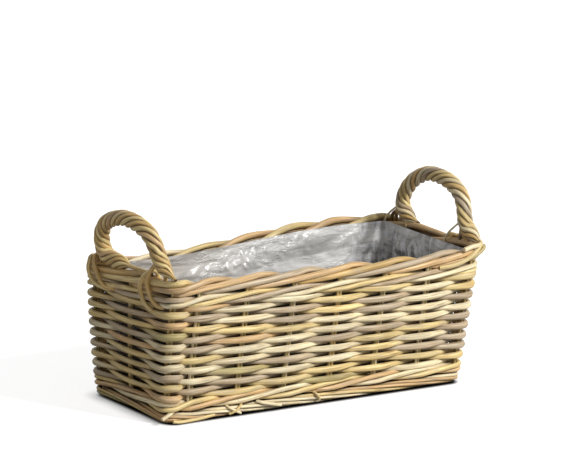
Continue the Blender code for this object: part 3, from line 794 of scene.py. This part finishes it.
handle = {
    "strands": 6, "size": 0.0066, "upright": False, "ringRadius": 0.0064, "lead": 0.070,
    # the core is darkened only on faces that point down, as painted shade
    "core": {"size": 0.0064, "sides": 8, "upright": False, "shadeAndDirtFrom": -1},
    "steps": 14, "pegSteps": 8, "drift": 0.05, "gather": 0.026, "coreFrom": 0.3,
    # at a foot, the strands' ring, girth, twist and grooves shrink to these shares
    "slackRing": 0.2, "slackGirth": 0.38, "slackTwist": 0.2, "slackGroove": 0.25,
    # from the spine, where the painted shade in the grooves sets in and is full, and where a peg is no
    # longer in the rope
    "grooveFrom": 0.0095, "grooveTo": 0.0076, "pegFrom": 0.0125, "pegSize": 0.0046,
    # spine: across the end, above the rim and further out, in millimetres, front foot first;
    # past each foot the strands thin out and lie along the rim, as far as slim says
    # pegs: canes pushed down beside the stakes, as the spine's numbers are, darkened by painted shade
    "left": {
        "tints": (golden, straw, golden, straw, tan, straw),
        "lean": -15 / 60, "slim": (0.003, 0.046), "pegShade": 0.45,
        "spine": (
            (-92, -1, 0), (-85, 2.5, 0), (-77.5, 6.8, 0), (-70.5, 11.4, 0), (-66, 18, 0), (-63, 26, 0),
            (-60.5, 35, 0), (-50.8, 49, 0), (-27.8, 58.7, 0), (1.2, 61, 0), (34, 52.5, 0), (50, 40, 0),
            (56.5, 28, 0), (57, 17, 0), (53, 9.5, 0), (44, 5.8, 0), (30, 3.6, 0), (12, 2, 0),
            (-8, 0.9, 0), (-28, 0.1, 0), (-44, -1, 0)),
        "pegs": (
            ((-63, 20, -1), (-64, 11, -2), (-65, 2, -3), (-65, -8, -4)),
            ((-68, 14, 2), (-71, 6, 2), (-72, -1, 1), (-72, -8, 0)),
            ((57, 20, 1), (60, 10, 1), (64, 2, 0), (66, -8, -1)),
            ((60, 16, 3), (66, 8, 3), (71, 1, 1), (73, -8, 0))),
    },
    "right": {
        "tints": (straw, cream, golden, cream, taupe, straw),
        "lean": 3 / 71, "slim": (0.003, 0.003), "pegShade": 0.85,
        "spine": (
            (-95, -5.7, 5), (-89.5, -1.5, 4.5), (-82.5, 3.4, 4), (-75, 8, 2.5), (-68.3, 13, 1),
            (-64.3, 20, 0), (-61.2, 29.3, 0), (-57.5, 41, 0), (-47, 53.6, 0), (-23.8, 63.2, 0),
            (10, 65.2, 0), (36.5, 55, 0), (53.1, 40, 0), (60.3, 26, 0), (61, 18.2, 0),
            (57.5, 10.6, 0), (48.5, 4.6, 0), (37.5, 1, 0), (24, -1.2, 0)),
        "pegs": (
            ((-61, 20, -2), (-61, 9, -3), (-61, 0, -3), (-60, -12, -2)),
            ((-63, 14, -1), (-68, 5, -1), (-71, -3, -1), (-72, -14, -1)),
            ((-68, 10, 1), (-77, 2, 1), (-83, -6, 0), (-85, -15, 0)),
            ((62, 22, -2), (66, 10, -3), (68, 2, -3), (69, -10, -2)),
            ((60, 12, -1), (60, 5, -2), (60, -1, -2), (60, -10, -2)),
            ((61, 16, 1), (72, 6, 0), (78, 0, -1), (80, -10, -1))),
    },
}


def twistRope(side):
    own = handle[side]
    sign = -1 if side == "left" else 1

    def place(across, above, out):
        x = basket["lineLength"] + (sign * own["lean"] * max(above, 0) + out) / 1000
        return (sign * x, across / 1000, basket["rimTop"] + above / 1000)

    spine = np.array([place(*row) for row in smoothLine(own["spine"], handle["steps"])])
    along = np.gradient(spine, axis=0)
    along /= np.linalg.norm(along, axis=1)[:, None]
    length = np.r_[0, np.cumsum(np.linalg.norm(np.diff(spine, axis=0), axis=1))]
    flat = np.tile((1.0, 0, 0), (len(spine), 1))
    flat -= (flat * along).sum(1)[:, None] * along
    flat /= np.linalg.norm(flat, axis=1)[:, None]
    outward = np.cross(along, flat)
    fromFoot = np.minimum(length - own["slim"][0], length[-1] - length - own["slim"][1])
    snug = np.clip(fromFoot / handle["gather"], 0, 1)  # 0 where the strands lie loose, 1 in the rope
    snug = snug * snug * (3 - 2 * snug)
    speed = fromLeast(handle["slackTwist"], snug[1:])
    twist = np.r_[0, np.cumsum(np.diff(length) * speed)] / handle["lead"]

    # painted shade in the grooves between the strands, less where they lie loose, and on the pegs
    def grooveShade(spots):
        gaps = np.array([np.linalg.norm(spine - spot, axis=1) for spot in spots])
        tight = fromLeast(handle["slackGroove"], snug[gaps.argmin(axis=1)])
        far, near = handle["grooveFrom"] * tight, handle["grooveTo"] * tight
        dirt = np.clip((far - gaps.min(axis=1)) / (far - near), 0, 1)
        return np.where(gaps.min(axis=1) > handle["pegFrom"], own["pegShade"], dirt)

    canes = []
    for strand in range(handle["strands"]):
        turn = -2 * math.pi * (twist + strand / handle["strands"])
        radius = handle["ringRadius"] * fromLeast(handle["slackRing"], snug)
        points = spine + radius[:, None] * (np.cos(turn)[:, None] * flat + np.sin(turn)[:, None] * outward)
        girth = fromLeast(handle["slackGirth"], snug)
        girth = girth * uneven(length * 30, strand + 9 * sign, handle)
        canes.append(newCane(points, girth, own["tints"][strand], 4, 8))
    for number, rows in enumerate(own["pegs"]):
        points = [place(*row) for row in smoothLine(rows, handle["pegSteps"])]
        girth = handle["pegSize"] / handle["size"]
        canes.append(newCane(points, girth, (taupe, golden)[number % 2], 2, 2))
    layCanes(side + "HandleStrands", [side + "_handle_rope"], canes, "handle", handle, grooveShade)
    core = newCane(squareEnds(spine[snug > handle["coreFrom"]][::2]), 1, tan)
    layCanes(side + "HandleCore", [side + "_handle_core"], [core], "handle", handle["core"])


# lashings over the rim

lashing = {
    # no painted shade by depth here, only on faces that point down
    "size": 0.0052, "upright": False, "thin": 0.5, "steps": 9, "drift": 0.05, "shadeAndDirtFrom": -0.03,
    # two canes each: across the end, outwards and above the rim, in millimetres
    "left_front": (
        ((-57, 1, 15), (-54.5, 7, 9.5), (-51.5, 10.6, 2), (-50, 11.4, -6), (-51.2, 11.2, -13.5),
         (-54, 10.6, -20), (-59, 10, -27.3), (-68, 7.5, -33), (-77, 3.5, -36)),
        ((-49, -6, -6), (-48, -2, 3), (-45, 5, 3.4), (-41, 10, -1.5), (-37, 11.4, -8), (-35, 11.2, -14),
         (-35.6, 11, -20), (-38, 10.6, -25.5), (-42.5, 10, -32), (-50, 7.5, -38), (-56, 3.5, -42))),
    "left_back": (
        ((80, -8, -12), (79, -6, 0), (75, 0, 5.5), (69, 8, 4.5), (65.5, 11, -2), (59.5, 11.4, -11),
         (53.3, 10.8, -20), (44.5, 9.6, -27), (34, 6.5, -29.5), (26, 2.5, -31)),
        ((84, -6, -6), (83, 0, 2.5), (79, 7.5, 2.5), (76, 10.8, -1), (77, 11.4, -9), (74.5, 11, -17.5),
         (66, 10.4, -25.5), (56, 9.4, -29.5), (46, 6.5, -31.5), (38, 2.5, -33))),
    "right_front": (
        ((-58, -4, 18), (-52, -7, 11.5), (-44.3, -8.4, 4), (-38.8, -9.6, -6), (-36.5, -10.2, -13),
         (-34, -10.2, -22)),
        ((-52, 3, -30), (-50, 8.5, -20), (-47, 9.5, -10), (-45, 5, -2), (-44, -3, -1.5), (-42, -8, -9))),
    "right_back": (
        ((64, -3, 14.5), (69, -6.5, 9.5), (76, -9, 2), (81, -11.2, -8), (81, -12, -19), (76, -12.2, -31)),
        ((52, 3, -30), (50, 8.5, -20), (47, 9.5, -10), (45, 5, -1), (44, -3, -0.5), (42, -8, -9))),
}


def tieLashings():
    for place in ("left_front", "left_back", "right_front", "right_back"):
        side, end = place.split("_")
        sign = -1 if side == "left" else 1
        canes = []
        for number, rows in enumerate(lashing[place]):
            points = []
            for across, offset, above in smoothLine(rows, lashing["steps"]):
                z = basket["rimTop"] + above / 1000
                x = sign * (lineSize(min(z, basket["rimTop"]))[0] + offset / 1000)
                points.append((x, across / 1000, z))
            girth = uneven(np.arange(len(points)) * 0.2, number + 3, lashing)
            girth *= lashing["thin"] if sign > 0 else 1
            canes.append(newCane(points, girth, (cream if sign > 0 else golden, straw)[number], 2, 6))
        layCanes(side + end.capitalize() + "Lashing", ["lashing_" + place], canes, "lashing", lashing)
    print("lashings tied")


# film liner

film = {
    "topZ": 0.1660, "floorZ": 0.0236, "gap": 0.0100, "corner": 0.005, "foot": 0.012,
    "longPoints": 190, "shortPoints": 64, "cornerPoints": 6, "wallRings": 60, "footRings": 6,
    "floorRings": 12, "wall": 0.00015, "weld": 0.00006, "sharpAngle": 35,
    "depth": 0.0078, "floorFlat": 0.8,  # how far the creases stand in, and how much less on the floor
    "endFolds": 0.8, "endFrom": 0.19,  # and how much further on the right end's wall
    "rimHold": (0.006, 0.15),  # under the border, within this height, down to this share
    "cornerHold": (0.012, 0.03, 0.04),  # beside a corner: flat up to here, full this far on, least
    "flat": (0.69, 0.42), "area": 0.214,
    "inside": {"tones": ("B0AEAA", "E8E6E3"), "glare": 0.7, "creaseHighlights": 1.0, "gloss": 0.5},
    # the back face's copy is painted dark: painted shade where the film is seen through the canes
    "outside": {"tones": ("3A322A", "5A5044"), "glare": 0, "creaseHighlights": 0, "gloss": 0.08},
    # colours of the painted shadow, the painted shade and the painted highlights
    "shadow": (0.36, 0.37, 0.41), "dull": (0.76, 0.72, 0.67), "shine": (0.95, 0.95, 0.98),
    # along the length: where the right end's painted shadow and crease highlights, the left part's painted
    # shade and the left end's painted glare set in and are full
    "rightShadowSpan": (0.13, 0.2), "leftShadeSpan": (0.02, -0.12), "shineSpan": (-0.16, -0.20),
    "swirl": 1.5, "relief": 0.0026,
}


# the film's finish; its copy for the back face, seen through the canes from outside, is painted dark as
# painted shade
def filmFinish(name, look):
    finish, tree, shader = newFinish(name)
    flat = addNode(tree, "ShaderNodeAttribute", attribute_name="flatSpot")
    bands, fine, dark, bright, clumps = (
        pattern("ShaderNodeTexNoise", flat.outputs["Vector"], scales, Detail=detail,
                Distortion=film["swirl"])
        for scales, detail in (((10, 70, 10), 4), ((60, 190, 60), 5), ((26, 22, 26), 3),
                               ((70, 26, 70), 3), ((22, 38, 22), 2)))
    place = tree.nodes.new("ShaderNodeTexCoord").outputs["Object"]
    sides = addNode(tree, "ShaderNodeSeparateXYZ", Vector=place)
    along = sides.outputs["X"]
    # painted shadow in the folds of the right end, and painted highlights on its creases
    atRightEnd = spread(along, *film["rightShadowSpan"], 0, 1)
    foldShadow = maths("MULTIPLY", atRightEnd, spread(dark, 0.40, 0.55, 0.85, 0))
    creaseHighlights = maths("MULTIPLY", atRightEnd, spread(bright, 0.47, 0.62, 0, look["creaseHighlights"]))
    low, high = ((*paint(code), 1) for code in look["tones"])
    colour = blendColours(tree, "MIX", spread(bands, 0.35, 0.65, 0, 1), low, high)
    # painted shadow and highlights at the right end, painted shade on the left part, painted glare at the
    # left end
    layers = (("MULTIPLY", foldShadow, film["shadow"]), ("MIX", creaseHighlights, film["shine"]),
              ("MULTIPLY", spread(along, *film["leftShadeSpan"], 0, 1), film["dull"]),
              ("MIX", spread(along, *film["shineSpan"], 0, look["glare"]), film["shine"]))
    for how, share, tone in layers:
        colour = blendColours(tree, how, share, colour, (*tone, 1))
    # crushed more in some places than in others
    raised = addNode(tree, "ShaderNodeBump", Distance=film["relief"], Height=fine,
                     Strength=spread(clumps, 0.46, 0.62, 0.12, 1.0))
    fillIn(shader, Base_Color=colour, Alpha=spread(bands, 0.3, 0.7, 0.82, 0.96),
           Roughness=spread(fine, 0.3, 0.7, 0.16, 0.34), IOR=1.5,
           Specular_IOR_Level=look["gloss"], Normal=raised.outputs["Normal"])
    return finish


# how far a place is from the nearest line between scattered points' cells
def fromCrease(x, y, z):
    near = noise.voronoi((x, y, z))[0]
    return min(near[1] - near[0], 1)


# slanting creases with flat shards between them
def crumple(u, v):
    gathered = min(max(noise.noise((u * 10, v * 17, 8)) * 2.2 + 0.5, 0), 1)
    big = fromCrease((u - 0.7 * v) * 46 + 2.5 * noise.noise((u * 9, v * 14, 1)), v * 30, 4.7)
    small = fromCrease((u + 0.5 * v) * 95 + 2 * noise.noise((u * 25, v * 30, 5)), v * 75, 9.1)
    return 0.45 * big + (0.06 + 0.3 * gathered) * small + 0.5 * noise.noise((u * 8, v * 30, 2))


# the corners and straights of one ring of the tray, with the same number of points in every ring
def trayRing(halfX, halfY, radius):
    radius = min(radius, halfY)
    ring = []
    for quarter in range(4):
        long = quarter % 2 == 0
        run, away = (halfX, halfY) if long else (halfY, halfX)
        turn = Matrix.Rotation(math.pi / 2 * quarter, 2)
        count = film["longPoints"] if long else film["shortPoints"]
        for part in np.arange(count) / count:
            ring.append(turn @ Vector(((radius - run) * (1 - 2 * part), -away)))
        for part in np.arange(film["cornerPoints"]) / film["cornerPoints"]:
            angle = math.pi / 2 * (part - 1)
            ring.append(turn @ Vector((run - radius + radius * math.cos(angle),
                                       radius - away + radius * math.sin(angle))))
    return ring


# the rings of the tray: down the wall, round its foot and in over the floor
def trayRings():
    heights = np.linspace(film["topZ"], film["floorZ"] + film["foot"], film["wallRings"])
    insets = [(z, film["gap"]) for z in heights]
    for part in np.arange(1, film["footRings"] + 1) / film["footRings"]:
        angle = math.pi / 2 * part
        insets.append((film["floorZ"] + film["foot"] * (1 - math.sin(angle)),
                       film["gap"] + film["foot"] * (1 - math.cos(angle))))
    levels = [(*(half - inset for half in lineSize(z)), film["corner"], z) for z, inset in insets]
    lastX, lastY = levels[-1][:2]
    for part in np.arange(1, film["floorRings"] + 1) / film["floorRings"]:
        shrink = lastY * part
        levels.append((lastX - shrink, max(lastY - shrink, 0.00002), film["corner"] * (1 - part * 0.9),
                       film["floorZ"]))
    rings = np.array([[(*spot, z) for spot in trayRing(halfX, halfY, radius)]
                      for halfX, halfY, radius, z in levels])
    return np.concatenate([rings, rings[:, :1]], axis=1)


# how far each point of the tray is pushed in by the creases
def creaseLift(rings, down, around):
    rows, columns = rings.shape[:2]
    cornerWay = np.hypot(abs(rings[:, :, 0]) - abs(rings[:, :, 0]).max(axis=1)[:, None],
                         abs(rings[:, :, 1]) - abs(rings[:, :, 1]).max(axis=1)[:, None])
    lift = np.zeros((rows, columns))
    for i in range(rows):
        onFloor = np.clip((i - rows + film["floorRings"]) / film["floorRings"], 0, 1)
        share = 1 - film["floorFlat"] * onFloor
        for j in range(columns - 1):
            lift[i, j] = max(crumple(around[j], down[i]), 0) * film["depth"] * share
    lift[:, -1] = lift[:, 0]
    lift *= 1 + film["endFolds"] * (rings[:, :, 0] > film["endFrom"])
    reach, least = film["rimHold"]
    hold = np.clip(down / reach, least, 1)[:, None]
    start, way, least = film["cornerHold"]
    return lift * (hold * np.clip((cornerWay - start) / way, least, 1))


# the film as a fine grid laid on the tray's rings, with its creases
def tuckFilm():
    rings = trayRings()
    down = np.r_[0, np.cumsum(np.linalg.norm(np.diff(rings, axis=0), axis=2).mean(1))]
    around = np.r_[0, np.cumsum(np.linalg.norm(np.diff(rings[0], axis=0), axis=1))]
    across = np.roll(rings[:, :-1], -1, axis=1) - np.roll(rings[:, :-1], 1, axis=1)
    slope = np.gradient(rings, axis=0)[:, :-1]
    inward = np.cross(across, slope)
    inward /= np.maximum(np.linalg.norm(inward, axis=2), 1e-9)[:, :, None]
    inward = np.concatenate([inward, inward[:, :1]], axis=1)
    rings = rings + inward * creaseLift(rings, down, around)[:, :, None]
    rows, columns = rings.shape[:2]

    bpy.ops.object.select_all(action="DESELECT")
    bpy.ops.mesh.primitive_grid_add(x_subdivisions=columns - 1, y_subdivisions=rows - 1, size=1)
    liner = bpy.context.object
    liner.name = "crinkledLiner"
    mesh = liner.data
    mesh.vertices.foreach_set("co", rings.ravel())
    spots = np.zeros((rows, columns, 3))
    spots[:, :, 0], spots[:, :, 1] = around[None, :], down[:, None]
    keepOnPoints(mesh, "flatSpot", "FLOAT_VECTOR", "vector", spots)
    bpy.ops.object.mode_set(mode="EDIT")
    bpy.ops.mesh.select_all(action="SELECT")
    bpy.ops.mesh.remove_doubles(threshold=film["weld"])
    bpy.ops.mesh.normals_make_consistent(inside=True)
    bpy.ops.object.mode_set(mode="OBJECT")
    liner.data.materials.append(filmFinish("crinkledFilm", film["inside"]))
    # the back face gets the copy painted dark, as painted shade
    liner.data.materials.append(filmFinish("crinkledFilmBehindPaintedShade", film["outside"]))
    wall = liner.modifiers.new("filmWall", "SOLIDIFY")
    wall.thickness = film["wall"]
    wall.offset = -1
    wall.material_offset = 1
    bpy.ops.object.modifier_apply(modifier="filmWall")
    bpy.ops.object.shade_smooth_by_angle(angle=math.radians(film["sharpAngle"]))
    settle(liner, ["film_liner"])
    print("film tucked in")


weaveRows()
layWales()
bendBorder()
plaitFoot()
setStakes()
weaveBase()
twistRope("left")
twistRope("right")
print("handles twisted")
tieLashings()
tuckFilm()
